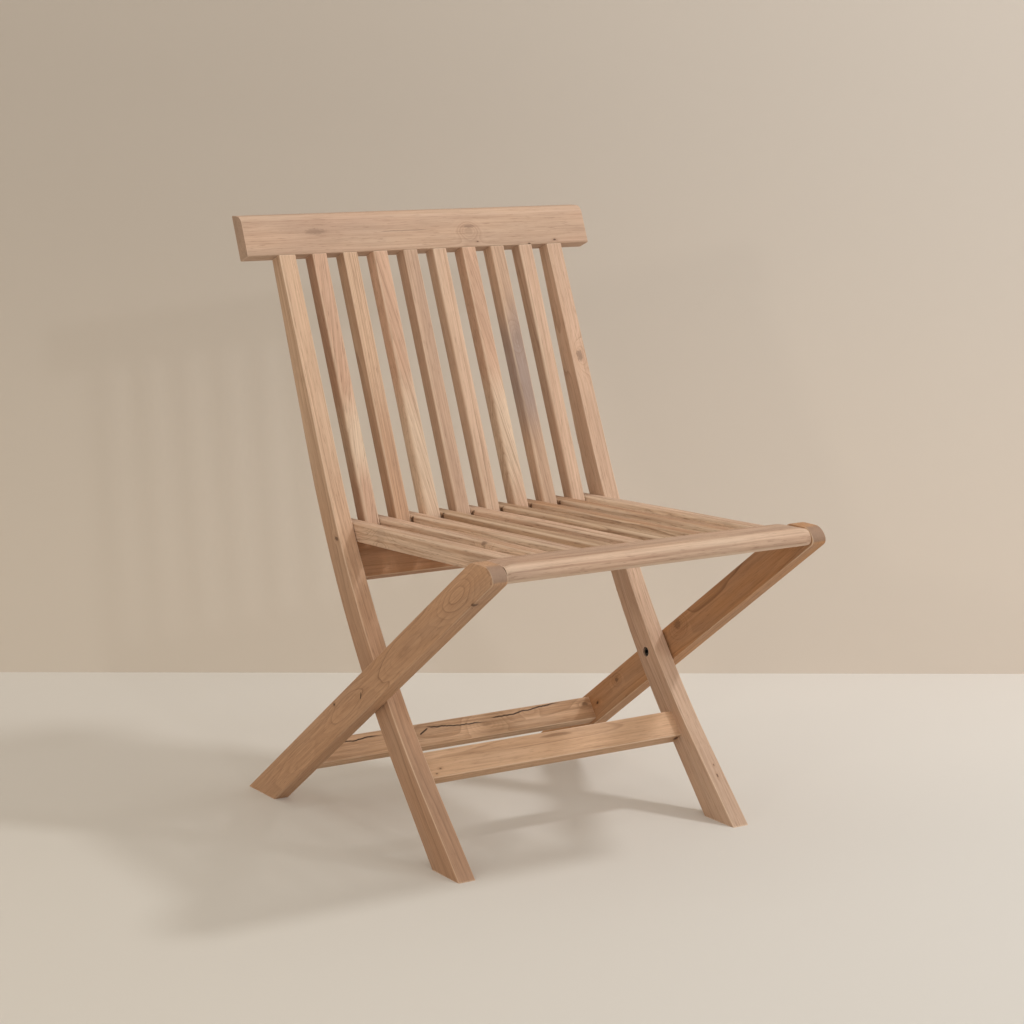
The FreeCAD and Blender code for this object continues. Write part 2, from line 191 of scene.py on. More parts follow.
# a split: a thin dark line that wanders along the grain and closes at both ends
splitLook = {"opensBy": 0.12, "closesFrom": 0.7, "bow": (24.0, 6.0, 6.0), "edge": (1.0, 0.45),
             "deep": (0.009, 0.006), "thinnest": 0.00001}
splitLine, given, result = startGroup(
    "splitLine",
    [("Vector", "Vector", origin), ("Start", "Vector", origin), ("Length", "Float", 0.05),
     ("Width", "Float", 0.0012), ("Wander", "Float", 0.004), ("Slope", "Float", 0.0)],
    ["Split"])
tree = splitLine
away = reckonVector(tree, "SUBTRACT", given["Vector"], given["Start"])
parts = addNode(tree, "SeparateXYZ", {0: away}).outputs
share = reckon(tree, "DIVIDE", parts["X"], given["Length"])
opening = easeBetween(tree, share, 0.0, splitLook["opensBy"])
opened = reckon(tree, "MULTIPLY", opening, easeBetween(tree, share, 1.0, splitLook["closesFrom"]))
bow = noise(tree, given["Vector"], splitLook["bow"], detail=3.0, roughness=0.6)
line = reckon(tree, "MULTIPLY", reckon(tree, "SUBTRACT", bow, 0.5), given["Wander"])
line = reckon(tree, "ADD", line, reckon(tree, "MULTIPLY", parts["X"], given["Slope"]))
offLine = reckon(tree, "ABSOLUTE", reckon(tree, "SUBTRACT", parts["Y"], line))
wide = reckon(tree, "ADD", reckon(tree, "MULTIPLY", opened, given["Width"]), splitLook["thinnest"])
narrow = easeBetween(tree, reckon(tree, "DIVIDE", offLine, wide), *splitLook["edge"])
near = easeBetween(tree, reckon(tree, "ABSOLUTE", parts["Z"]), *splitLook["deep"])
tree.links.new(reckon(tree, "MULTIPLY", reckon(tree, "MULTIPLY", narrow, opened), near), result["Split"])

# worn edges and painted highlights: sharp edges, where a rounded normal differs from the surface's own, are
# worn pale, and on those sanded round a pale band is a painted highlight
edgeLook = {"samples": 6, "sharp": (0.01, 0.16), "sanded": (0.1, 0.38), "sandedHighlightShare": 0.8}
wornEdgeAndHighlight, given, result = startGroup(
    "wornEdgeAndHighlight", [("Reach", "Float", 0.003), ("Across", "Vector", (1.0, 0.0, 0.0))], ["Edge"])
tree = wornEdgeAndHighlight
rounded = addNode(tree, "Bevel", {"Radius": given["Reach"]}, samples=edgeLook["samples"]).outputs["Normal"]
plain = addNode(tree, "NewGeometry").outputs["Normal"]
turned = reckon(tree, "SUBTRACT", 1.0, reckonVector(tree, "DOT_PRODUCT", rounded, plain))
sharp = easeBetween(tree, turned, *edgeLook["sharp"])
facing = addNode(tree, "TexCoord").outputs["Normal"]
tilt = reckonVector(tree, "DOT_PRODUCT", facing, given["Across"])
between = reckon(tree, "MULTIPLY", tilt, reckon(tree, "SUBTRACT", 1.0, reckon(tree, "MULTIPLY", tilt, tilt)))
between = reckon(tree, "ABSOLUTE", between)
# painted highlight: a pale band across the rounding of sanded edges
sanded = easeBetween(tree, between, *edgeLook["sanded"], 0.0, edgeLook["sandedHighlightShare"])
tree.links.new(reckon(tree, "MAXIMUM", sharp, sanded), result["Edge"])

# faces that face along a given way: the sawn ends, which cut across the grain, and the sides that take the
# painted light and shade
facingLook = {"from": 0.55, "full": 0.85}
facingMask, given, result = startGroup("facingMask", [("Along", "Vector", (1.0, 0.0, 0.0))], ["End"])
tree = facingMask
facing = addNode(tree, "TexCoord").outputs["Normal"]
turned = reckon(tree, "ABSOLUTE", reckonVector(tree, "DOT_PRODUCT", facing, given["Along"]))
tree.links.new(easeBetween(tree, turned, facingLook["from"], facingLook["full"]), result["End"])

# the long legs' bent board: straightens the curve so that the grain follows it
legBend = {"lowerSlope": 0.900, "upperSlope": 0.404, "cornerY": 0.0734, "cornerZ": 0.286, "softness": 0.104,
           "stretch": 1.18}
meanSlope = (legBend["lowerSlope"] + legBend["upperSlope"]) / 2
halfSlope = (legBend["upperSlope"] - legBend["lowerSlope"]) / 2
bentBoard, given, result = startGroup("bentBoard", [("Vector", "Vector", origin)], ["Vector"], "Vector")
tree = bentBoard
parts = addNode(tree, "SeparateXYZ", {0: given["Vector"]}).outputs
rise = reckon(tree, "SUBTRACT", parts["Z"], legBend["cornerZ"])
softRise = reckon(tree, "ADD", reckon(tree, "MULTIPLY", rise, rise), legBend["softness"] ** 2)
line = reckon(tree, "MULTIPLY", reckon(tree, "SQRT", softRise), halfSlope)
line = reckon(tree, "ADD", reckon(tree, "MULTIPLY", rise, meanSlope), line)
offLine = reckon(tree, "SUBTRACT", reckon(tree, "SUBTRACT", parts["Y"], legBend["cornerY"]), line)
along = reckon(tree, "MULTIPLY", parts["Z"], legBend["stretch"])
across = reckon(tree, "DIVIDE", offLine, legBend["stretch"])
straight = addNode(tree, "CombineXYZ", {"X": along, "Y": parts["X"], "Z": across}).outputs[0]
tree.links.new(straight, result["Vector"])
print("shader groups made:", len(bpy.data.node_groups))


def straightened(point):  # the same for one point, so that a knot lands where it is asked for
    rise = point[2] - legBend["cornerZ"]
    line = rise * meanSlope + math.hypot(rise, legBend["softness"]) * halfSlope
    offLine = point[1] - legBend["cornerY"] - line
    return Vector((point[2] * legBend["stretch"], point[0], offLine / legBend["stretch"]))


# the teak
teakTones = {  # early wood, late wood, and the tone that the board drifts to along its length
    "paleTan": ("#DCBEA5", "#AF8768", "#CFAC94"),
    "dustyTan": ("#CFB097", "#9C7860", "#C09F8B"),
    "greyTan": ("#CBAA90", "#8A6C58", "#A4928A"),
    "fadedTan": ("#DCBB9E", "#A27C60", "#C89F80"),
    "sandTan": ("#CDAC8C", "#94704F", "#BC9876"),
    "strawTan": ("#DCB897", "#A0774F", "#CCA37F"),
    "sunTan": ("#D4AF95", "#9E7457", "#E6CEB4"),
    "rustTan": ("#C69669", "#84542F", "#B7855B"),
    "umberTan": ("#BD8C64", "#7C4F2E", "#AA7A54"),
    "warmTan": ("#C79E7C", "#8E6444", "#BA916F"),
    "brownTan": ("#C79C77", "#8A5F40", "#AD8262"),
}
teakFinish = {  # what a board has where it doesn't say otherwise, and the tones that all boards share
    "slant": 0.0, "ringWidth": 0.0045, "wander": 0.012, "driftShare": 0.6, "paintedSideShare": 0.0,
    "lateShare": 0.26, "streakShare": 0.24, "cloudShare": 0.16, "lineShare": 0.5, "hairShare": 0.2,
    "poreShare": 0.34, "endShare": 0.75, "worn": 0.65, "haloShare": 0.35,
    "greyColour": "#A08C7C", "poreColour": "#6E4B33", "endColour": "#8C7565", "wornAndHighlightColour": "#EAD3BA",
    "knotAndShadeColour": "#4A2F1F", "splitColour": "#2B1A10", "yearShare": 0.8, "steady": 0.35, "hairs": (0.4, 0.7),
    "wornReach": 0.0032, "edgeSteady": 0.35, "fadeSpan": (1.2, 0.4), "raggedFade": 0.4,
}
teakSurface = {"hairHeight": 0.8, "ringHeight": 0.3, "poreDepth": 0.4, "splitDepth": 2.0, "bump": 0.35,
               "bumpDistance": 0.0006, "hairs": (0.2, 0.8), "roughness": (0.55, 0.72), "specular": 0.35}
plainSpot = {"stretch": 2.0, "dark": 0.8}
plainSplit = {"wander": 0.004, "slope": 0.0, "dark": 0.9}
sideways = (1.0, 0.0, 0.0)


def addKnotsAndShade(tree, board, spot, onBoard):
    lift = 0.0
    knotsAndShade = []
    for spotSettings in board.get("knotsAndShade", []):
        spotSettings = plainSpot | spotSettings
        made = useGroup(tree, knotAndShadeSpot, {"Vector": spot, "Centre": onBoard(spotSettings["at"]), "Size": spotSettings["size"],
                                         "Lift": spotSettings["lift"], "Stretch": spotSettings["stretch"]})
        lift = reckon(tree, "ADD", lift, made["Lift"])
        knotsAndShade.append((made, spotSettings["dark"]))
    return knotsAndShade, lift


def driftOf(tree, board, spot, drifting):  # where the tone fades round one place, instead of here and there
    if not board.get("fade"):
        return drifting
    at, reach = board["fade"]
    offset = reckon(tree, "SUBTRACT", addNode(tree, "SeparateXYZ", {0: spot}).outputs["X"], at)
    offset = reckon(tree, "ABSOLUTE", offset)
    offset = reckon(tree, "MULTIPLY_ADD", drifting, teakFinish["raggedFade"] * reach, offset)
    return easeBetween(tree, offset, *[share * reach for share in teakFinish["fadeSpan"]])


def teak(name, board):
    board = teakFinish | board
    material = bpy.data.materials.new(name)
    material.use_nodes = True
    tree = material.node_tree
    shader = tree.nodes["Principled BSDF"]
    along, side = Vector(board["along"]).normalized(), Vector(board["across"]).normalized()
    turn = Matrix((along, side, along.cross(side))).transposed()
    turn = turn @ Matrix.Rotation(math.radians(board["slant"]), 3, "Z")
    centre = Vector(board["centre"])
    place = addNode(tree, "TexCoord").outputs["Object"]
    if board.get("bend"):
        place = useGroup(tree, bentBoard, {"Vector": place})["Vector"]
    laid = {"Vector": place, "Location": centre, "Rotation": Vector(turn.to_euler())}
    spot = addNode(tree, "Mapping", laid, vector_type="TEXTURE").outputs[0]

    def onBoard(point):
        point = straightened(point) if board.get("bend") else Vector(point)
        return turn.transposed() @ (point - centre)

    def cover(look, mask, share, tone):  # lays one more tone over the wood
        return mixColours(tree, reckon(tree, "MULTIPLY", mask, share), look, tone)

    knotsAndShade, lift = addKnotsAndShade(tree, board, spot, onBoard)
    rings = useGroup(tree, growthRings, {
        "Vector": spot, "Heart Across": board["heart"][0], "Heart Depth": board["heart"][1],
        "Ring Width": board["ringWidth"], "Wander": board["wander"], "Seed": board["seed"], "Lift": lift})
    fibres = useGroup(tree, woodFibres, {"Vector": spot, "Seed": board["seed"]})
    early, late, drifted = [colour(code) for code in teakTones[board["tone"]]]
    pore, grey = colour(teakFinish["poreColour"]), colour(teakFinish["greyColour"])

    # some years are darker than others, and their lines fade in and out
    year = rings["Year"]
    yearShare = teakFinish["yearShare"]
    strength = reckon(tree, "MULTIPLY_ADD", year, yearShare, 1 - yearShare)
    soft = reckon(tree, "MULTIPLY", rings["Late"], strength)
    fading = reckon(tree, "ADD", fibres["Drift"], teakFinish["steady"])
    fading = reckon(tree, "MULTIPLY", reckon(tree, "MULTIPLY", year, year), fading)
    line = reckon(tree, "MULTIPLY", rings["Line"], fading)

    look = cover(early, driftOf(tree, board, spot, fibres["Drift"]), board["driftShare"], drifted)
    # painted light and shade: the sides, facing across the width, are tinted lighter or darker to stand in
    # for how light falls on them
    if board["paintedSideShare"]:
        paintedSides = useGroup(tree, facingMask, {"Along": sideways})["End"]
        look = cover(look, paintedSides, board["paintedSideShare"], colour(board["sideColour"]))
    look = cover(look, soft, board["lateShare"], late)
    look = cover(look, fibres["Streaks"], board["streakShare"], late)
    look = cover(look, fibres["Clouds"], board["cloudShare"], grey)
    look = cover(look, line, board["lineShare"], pore)
    look = cover(look, easeBetween(tree, fibres["Hairs"], *teakFinish["hairs"]), board["hairShare"], pore)
    look = cover(look, fibres["Pores"], board["poreShare"], pore)
    end = useGroup(tree, facingMask, {"Along": board.get("endFacing", along)})["End"]
    look = cover(look, end, board["endShare"], colour(teakFinish["endColour"]))
    # pale on worn sharp edges, and a painted highlight on sanded roundings
    worn = {"Reach": teakFinish["wornReach"], "Across": board.get("wornAcross", side)}
    edge = useGroup(tree, wornEdgeAndHighlight, worn)["Edge"]
    edgeSteady = teakFinish["edgeSteady"]
    patchy = reckon(tree, "MULTIPLY_ADD", fibres["Clouds"], 1 - edgeSteady, edgeSteady)
    edge = reckon(tree, "MULTIPLY", edge, patchy)
    look = cover(look, edge, board["worn"], colour(teakFinish["wornAndHighlightColour"]))

    # knots, painted shade spots and splits
    height = reckon(tree, "MULTIPLY", soft, teakSurface["ringHeight"])
    height = reckon(tree, "MULTIPLY_ADD", fibres["Hairs"], teakSurface["hairHeight"], height)
    height = reckon(tree, "MULTIPLY_ADD", fibres["Pores"], -teakSurface["poreDepth"], height)
    for made, dark in knotsAndShade:
        look = cover(look, made["Halo"], teakFinish["haloShare"] * dark, late)
        look = cover(look, made["Core"], dark, colour(teakFinish["knotAndShadeColour"]))
    for split in board.get("splits", []):
        split = plainSplit | split
        crack = useGroup(tree, splitLine, {
            "Vector": spot, "Start": onBoard(split["at"]), "Length": split["length"], "Width": split["width"],
            "Wander": split["wander"], "Slope": split["slope"]})["Split"]
        look = cover(look, crack, split["dark"], colour(teakFinish["splitColour"]))
        height = reckon(tree, "MULTIPLY_ADD", crack, -teakSurface["splitDepth"], height)

    rough = easeBetween(tree, fibres["Hairs"], *teakSurface["hairs"], *teakSurface["roughness"])
    relief = {"Height": height, "Strength": teakSurface["bump"], "Distance": teakSurface["bumpDistance"]}
    tree.links.new(look, shader.inputs["Base Color"])
    tree.links.new(rough, shader.inputs["Roughness"])
    tree.links.new(addNode(tree, "Bump", relief).outputs[0], shader.inputs["Normal"])
    shader.inputs["Specular IOR Level"].default_value = teakSurface["specular"]
    return material


def dress(node, material):
    for slot in nodes[node].material_slots:
        slot.material = material


def middle(node):
    low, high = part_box(node)
    return (low + high) / 2


# back slats: square in section, with edges that are sanded wide and unevenly towards the seat
lean = math.radians(22)
upTheBack = (0.0, math.sin(lean), math.cos(lean))
backSlats = {
    1: {"paintedSideShare": 0.46, "tone": "sunTan", "fade": (-0.07, 0.09), "driftShare": 0.95, "seed": 1.3,
        "heart": (0.05, 0.03), "slant": 5.0, "ringWidth": 0.003, "poreShare": 0.5},
    2: {"paintedSideShare": 0.28, "tone": "fadedTan", "fade": (-0.16, 0.2), "driftShare": 0.8, "seed": 2.1,
        "heart": (0.10, 0.01), "slant": 0.4, "ringWidth": 0.0035, "lateShare": 0.5},
    3: {"tone": "sunTan", "fade": (-0.10, 0.12), "driftShare": 0.95, "seed": 3.7, "heart": (0.03, 0.05),
        "slant": -7.0, "ringWidth": 0.0028},
    4: {"paintedSideShare": 0.25, "tone": "dustyTan", "seed": 4.4, "heart": (0.02, 0.09), "lineShare": 0.2},
    5: {"paintedSideShare": 0.24, "tone": "paleTan", "driftShare": 0.15, "seed": 5.9, "heart": (0.08, 0.02),
        "slant": 1.0, "streakShare": 0.3},
    6: {"paintedSideShare": 0.2, "tone": "sunTan", "fade": (-0.09, 0.11), "driftShare": 0.95, "seed": 6.2,
        "heart": (0.05, 0.03), "slant": -8.0, "ringWidth": 0.0028},
    7: {"tone": "greyTan", "fade": (0.02, 0.13), "driftShare": 0.9, "seed": 7.5, "heart": (0.03, 0.06),
        "slant": -3.0, "ringWidth": 0.006,
        "knotsAndShade": [{"at": (0.1290, 0.217, 0.672), "size": 0.006, "lift": 4.0, "dark": 0.12}]},
    8: {"paintedSideShare": 0.34, "tone": "paleTan", "seed": 8.8, "heart": (0.09, 0.02), "slant": 1.0,
        "lineShare": 0.3},
}
slatShape = {"width": 0.024, "depth": 0.0245, "length": 0.42, "foot": (0.12505, 0.41062), "pitch": 0.051,
             "middleNumber": 4.5, "cuts": 23, "widest": 0.0085, "narrowest": 0.001, "tenon": 0.018,
             "tenonInset": 0.004, "tenonThin": (1.0, 0.667, 1.0), "hiddenShare": 0.45, "hiddenExtra": 0.0014,
             "easing": 0.4, "waver": 0.0011, "waverSteps": (3.7, 50.0, 90.0, 7.0)}
wornEdges = {  # how wide the edges are sanded: at the top, low down, and how far up the wide part starts
    1: {"top": 0.0022, "low": 0.0070, "from": 0.66},
    2: {"top": 0.0018, "low": 0.0045, "from": 0.50},
    3: {"top": 0.0020, "low": 0.0072, "from": 0.70},
    4: {"top": 0.0020, "low": 0.0050, "from": 0.45},
    5: {"top": 0.0028, "low": 0.0058, "from": 0.80},
    6: {"top": 0.0018, "low": 0.0072, "from": 0.62},
    7: {"top": 0.0025, "low": 0.0055, "from": 0.55},
    8: {"top": 0.0022, "low": 0.0066, "from": 0.78},
}
smoothBelow = math.radians(35)
roundingSteps = 6
touching = 0.0001


def pickEdges(piece, wanted):
    bpy.ops.object.mode_set(mode="EDIT")
    bpy.ops.mesh.select_mode(type="EDGE")
    bpy.ops.mesh.select_all(action="DESELECT")
    bpy.ops.object.mode_set(mode="OBJECT")
    for edge in piece.data.edges:
        edge.select = wanted(*[piece.data.vertices[i].co for i in edge.vertices])
    bpy.ops.object.mode_set(mode="EDIT")


def pickFaces(piece, wanted):
    bpy.ops.object.mode_set(mode="EDIT")
    bpy.ops.mesh.select_mode(type="FACE")
    bpy.ops.mesh.select_all(action="DESELECT")
    bpy.ops.object.mode_set(mode="OBJECT")
    for face in piece.data.polygons:
        face.select = wanted(face)
    bpy.ops.object.mode_set(mode="EDIT")


def bisect(place, facing):
    bpy.ops.object.mode_set(mode="EDIT")
    bpy.ops.mesh.select_all(action="SELECT")
    bpy.ops.mesh.bisect(plane_co=place, plane_no=facing)


def tenon(board, axis, end, way, shape, centre):
    pickFaces(board, lambda face: abs(face.center[axis] - end) < touching)
    bpy.ops.mesh.inset(thickness=shape["tenonInset"])
    bpy.ops.transform.resize(value=shape["tenonThin"], center_override=centre)
    reach = Vector((0.0, 0.0, 0.0))
    reach[axis] = way * shape["tenon"]
    bpy.ops.mesh.extrude_region_move(TRANSFORM_OT_translate={"value": reach})


# a board whose long edges are rounded unevenly
def wornBoard(name, low, high, axis, cuts, widest, edgeWidth):
    low, high = Vector(low), Vector(high)
    bpy.ops.object.select_all(action="DESELECT")
    bpy.ops.mesh.primitive_cube_add(size=1.0, location=(low + high) / 2, scale=high - low)
    board = bpy.context.object
    board.name = name
    bpy.ops.object.transform_apply(location=True, scale=True)

    def runs(one, other):
        way = other - one
        return abs(way[axis]) > way.length / 2

    pickEdges(board, runs)
    bpy.ops.mesh.subdivide(number_cuts=cuts)
    bpy.ops.object.mode_set(mode="OBJECT")
    weights = board.data.attributes.new("bevel_weight_edge", "FLOAT", "EDGE")
    for edge in board.data.edges:
        one, other = [board.data.vertices[i].co for i in edge.vertices]
        if runs(one, other):
            weights.data[edge.index].value = edgeWidth((one + other) / 2) / widest
    rounding = board.modifiers.new("rounding", "BEVEL")
    rounding.width = widest
    rounding.segments = roundingSteps
    rounding.limit_method = "WEIGHT"
    bpy.ops.object.modifier_apply(modifier=rounding.name)
    return board


def settle(piece, turn, place):  # shades the piece, turns it and takes it to its place, all kept in its mesh
    bpy.ops.object.mode_set(mode="OBJECT")
    bpy.ops.object.shade_smooth_by_angle(angle=smoothBelow)
    piece.rotation_euler = (-turn, 0.0, 0.0)
    piece.location = place
    bpy.ops.object.transform_apply(location=True, rotation=True)


def wornSlat(number, wear):
    length, halfWidth, halfDepth = slatShape["length"], slatShape["width"] / 2, slatShape["depth"] / 2
    apart, acrossX, acrossY, along = slatShape["waverSteps"]

    def edgeWidth(at):  # the left front edge is worn most
        low = wear["low"]
        if at.x > 0 or at.y > 0:
            low = slatShape["hiddenShare"] * low + slatShape["hiddenExtra"]
        share = (wear["from"] - at.z / length) / slatShape["easing"] + 0.5
        share = min(max(share, 0.0), 1.0)
        wide = wear["top"] + (low - wear["top"]) * share * share * (3 - 2 * share)
        spot = Vector((apart * number, acrossX * at.x + acrossY * at.y, along * at.z / length))
        return max(wide + slatShape["waver"] * drift.noise(spot), slatShape["narrowest"])

    low, high = (-halfWidth, -halfDepth, 0.0), (halfWidth, halfDepth, length)
    slat = wornBoard(f"worn_back_slat_{number}", low, high, 2, slatShape["cuts"], slatShape["widest"],
                     edgeWidth)
    for end, way in ((0.0, -1.0), (length, 1.0)):  # a tenon at each end, inside the rails
        tenon(slat, 2, end, way, slatShape, (0.0, 0.0, end))
    settle(slat, lean, ((number - slatShape["middleNumber"]) * slatShape["pitch"], *slatShape["foot"]))
    return slat


for number, board in backSlats.items():
    node = f"back_slat_{number}"
    # painted shade: the back slats' sides are tinted dark
    board.update(along=upTheBack, across=sideways, centre=middle(node), sideColour="#663E16")
    slat = wornSlat(number, wornEdges[number])
    slat.data.materials.append(teak(f"teakBackSlat{number}", board))
    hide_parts(node)
    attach(slat, "back_frame")
print("back slats made")

# seat slats: their top edges are sanded unevenly, and a batten is let in from below
fall = math.radians(2.2)
seatSlats = {
    1: {"paintedSideShare": 0.25, "tone": "paleTan", "seed": 11.4, "heart": (0.03, -0.05), "wander": 0.02,
        "ringWidth": 0.0035,
        "knotsAndShade": [{"at": (-0.2165, 0.0327, 0.4294), "size": 0.008, "lift": 5.0, "dark": 0.12}]},
    2: {"paintedSideShare": 0.5, "tone": "paleTan", "seed": 12.7, "heart": (0.05, 0.03), "slant": 1.0,
        "knotsAndShade": [{"at": (-0.1640, -0.1554, 0.4440), "size": 0.0045, "lift": 4.0, "dark": 0.5}]},
    3: {"paintedSideShare": 0.8, "tone": "paleTan", "seed": 14.1, "heart": (0.06, 0.03), "slant": -1.0},
    4: {"tone": "sandTan", "seed": 15.5, "heart": (0.04, 0.03), "slant": 0.5, "lateShare": 0.5,
        "poreShare": 0.5},
    5: {"paintedSideShare": 0.15, "tone": "paleTan", "seed": 16.8, "heart": (0.03, 0.06), "slant": -0.5},
    6: {"paintedSideShare": 0.5, "tone": "sandTan", "seed": 18.2, "heart": (0.07, 0.02), "slant": 1.0,
        "lateShare": 0.4},
    7: {"paintedSideShare": 0.75, "tone": "warmTan", "seed": 19.6, "heart": (0.05, 0.05), "slant": -1.5,
        "lateShare": 0.5},
    8: {"paintedSideShare": 0.9, "tone": "warmTan", "seed": 20.9, "heart": (0.04, 0.02), "lateShare": 0.4},
    9: {"paintedSideShare": 0.65, "tone": "paleTan", "seed": 22.3, "heart": (0.06, 0.04), "slant": 1.0},
}
seatShape = {"half": 0.0125, "low": -0.0133, "high": 0.0132, "front": 0.036, "end": 0.480, "middleNumber": 5,
             "cuts": 37, "widest": 0.0095, "top": 0.0052, "under": 0.0024, "between": (0.0018, 0.009),
             "waver": 0.0062, "waverSteps": (5.3, 60.0, 13.0), "tenon": 0.018, "tenonInset": 0.004,
             "tenonThin": (1.0, 1.0, 0.6), "batten": (0.397, 0.416), "pocket": 0.0108, "facingDown": -0.95}
seatPivot = (0.0, -0.318, 0.4385)
# painted shade spots, in the corners beside the back slats
seatCornerShade = {"slats": range(3, 9), "at": (0.1175, 0.4265)}
cornerShadeSpot = {"size": 0.0042, "lift": 0.0, "dark": 0.9, "stretch": 1.2}


def wornSeatSlat(number):
    middleX = (number - seatShape["middleNumber"]) * slatShape["pitch"]
    apart, across, along = seatShape["waverSteps"]
    narrowest, broadest = seatShape["between"]

    def edgeWidth(at):
        if at.z < 0:
            return seatShape["under"]
        spot = Vector((apart * number, across * (at.x - middleX), along * at.y))
        wide = seatShape["top"] + seatShape["waver"] * drift.noise(spot)
        return min(max(wide, narrowest), broadest)

    low = (middleX - seatShape["half"], seatShape["front"], seatShape["low"])
    high = (middleX + seatShape["half"], seatShape["end"], seatShape["high"])
    slat = wornBoard(f"worn_seat_slat_{number}", low, high, 1, seatShape["cuts"], seatShape["widest"],
                     edgeWidth)
    tenon(slat, 1, seatShape["front"], -1.0, seatShape, (middleX, seatShape["front"], 0.0))
    front, back = seatShape["batten"]  # the batten is let in between these two lines
    for place in (front, back):
        bisect((0.0, place, 0.0), (0.0, 1.0, 0.0))
    pickFaces(slat, lambda face: front < face.center.y < back and face.normal.z < seatShape["facingDown"])
    bpy.ops.mesh.extrude_region_move(TRANSFORM_OT_translate={"value": (0.0, 0.0, seatShape["pocket"])})
    settle(slat, fall, seatPivot)
    return slat


for number, board in seatSlats.items():
    node = f"seat_slat_{number}"
    # painted light: the seat slats' sides are tinted pale
    board.update(along=(0.0, math.cos(fall), -math.sin(fall)), across=sideways, centre=middle(node),
                 sideColour="#F4DEC4", streakShare=0.7, cloudShare=0.35)
    board.setdefault("poreShare", 0.6)
    if number in seatCornerShade["slats"]:  # painted shade: a dark spot in the corner beside each back slat stands in for the shadow in the gap there
        corner = (middle(node).x - seatShape["half"], *seatCornerShade["at"])
        board["knotsAndShade"] = [{"at": corner, **cornerShadeSpot}]
    slat = wornSeatSlat(number)
    slat.data.materials.append(teak(f"teakSeatSlat{number}", board))
    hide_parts(node)
    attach(slat, "seat")
print("seat slats made")

# rails, stretchers and the batten
rearFootRun = 0.620  # how far the rear feet stand behind the seat's pivot
legRise = math.atan2(seatPivot[2], rearFootRun)
alongLeg = (0.0, -math.cos(legRise), math.sin(legRise))
acrossLeg = (0.0, math.sin(legRise), math.cos(legRise))
onFrontStretcher = (0.0, 0.66, 0.75)
rails = {
    "top_rail": {
        "tone": "dustyTan", "seed": 21.3, "heart": (0.02, 0.09), "across": upTheBack, "wander": 0.02,
        "lineShare": 0.35, "endShare": 0.45, "worn": 0.3, "hairShare": 0.16, "streakShare": 0.26,
        "cloudShare": 0.3, "lateShare": 0.36,
        "knotsAndShade": [{"at": (-0.178, 0.2833, 0.8356), "size": 0.0060, "lift": 1.0, "dark": 0.3, "stretch": 4.0},
                  {"at": (0.0821, 0.2804, 0.8286), "size": 0.0085, "lift": 5.0, "dark": 0.15, "stretch": 1.2},
                  {"at": (0.084, 0.2830, 0.8350), "size": 0.0036, "lift": 0.0, "dark": 0.35, "stretch": 4.0},
                  {"at": (0.2334, 0.2730, 0.8102), "size": 0.0018, "lift": 0.5, "dark": 0.9},
                  {"at": (0.1863, 0.2714, 0.8058), "size": 0.0018, "lift": 0.5, "dark": 0.8},
                  {"at": (0.0940, 0.2740, 0.8120), "size": 0.0015, "lift": 0.5, "dark": 0.8}],
        "splits": [{"at": (-0.075, 0.2815, 0.8320), "length": 0.10, "width": 0.0009, "dark": 0.35,
                    "slope": 0.01}]},
    "lower_back_rail": {
        "tone": "umberTan", "seed": 22.9, "heart": (0.03, 0.06), "across": upTheBack, "wander": 0.03,
        "ringWidth": 0.009, "cloudShare": 0.2},
    "seat_front_rail": {
        "tone": "dustyTan", "seed": 23.5, "heart": (0.06, 0.03), "across": (0.0, 1.0, 0.0), "lateShare": 0.4,
        "streakShare": 0.55, "cloudShare": 0.4, "poreShare": 0.5},
    "front_stretcher": {
        "tone": "strawTan", "seed": 24.1, "heart": (0.01, 0.07), "across": onFrontStretcher, "wander": 0.03,
        "knotsAndShade": [{"at": (-0.1904, -0.0833, 0.1179), "size": 0.0016, "lift": 0.5, "dark": 0.7},
                  {"at": (-0.1990, -0.0880, 0.1130), "size": 0.0014, "lift": 0.5, "dark": 0.7},
                  {"at": (0.2120, -0.0850, 0.1030), "size": 0.0030, "lift": 0.0, "dark": 0.9}]},
    "rear_stretcher": {
        "tone": "strawTan", "seed": 25.7, "heart": (0.01, 0.07), "across": acrossLeg, "wander": 0.03,
        "cloudShare": 0.4, "streakShare": 0.5, "hairShare": 0.3, "lateShare": 0.5, "lineShare": 0.7,
        "knotsAndShade": [{"at": (0.0508, 0.1828, 0.0890), "size": 0.0085, "lift": 6.0, "dark": 0.12},
                  {"at": (0.1320, 0.1874, 0.0954), "size": 0.0050, "lift": 3.0, "dark": 0.0},
                  {"at": (0.2360, 0.1850, 0.0920), "size": 0.0040, "lift": 2.0, "dark": 0.5}],
        "splits": [{"at": (-0.0670, 0.1812, 0.0868), "length": 0.020, "width": 0.0018, "slope": 0.5,
                    "wander": 0.001},
                   {"at": (-0.0580, 0.1872, 0.0952), "length": 0.125, "width": 0.0015, "slope": -0.06,
                    "wander": 0.013},
                   {"at": (0.0540, 0.1850, 0.0922), "length": 0.160, "width": 0.0015, "slope": 0.07,
                    "wander": 0.013},
                   {"at": (-0.2150, 0.1850, 0.0925), "length": 0.095, "width": 0.0014, "slope": 0.04,
                    "wander": 0.010}]},
    "seat_batten": {"tone": "brownTan", "seed": 26.2, "heart": (0.05, 0.04), "across": (0.0, 1.0, 0.0)},
}


def dressBoards(boards, **shared):
    for node, board in boards.items():
        board.update(centre=middle(node), **shared)
        dress(node, teak("teak" + node.title().replace("_", ""), board))


dressBoards(rails, along=sideways)

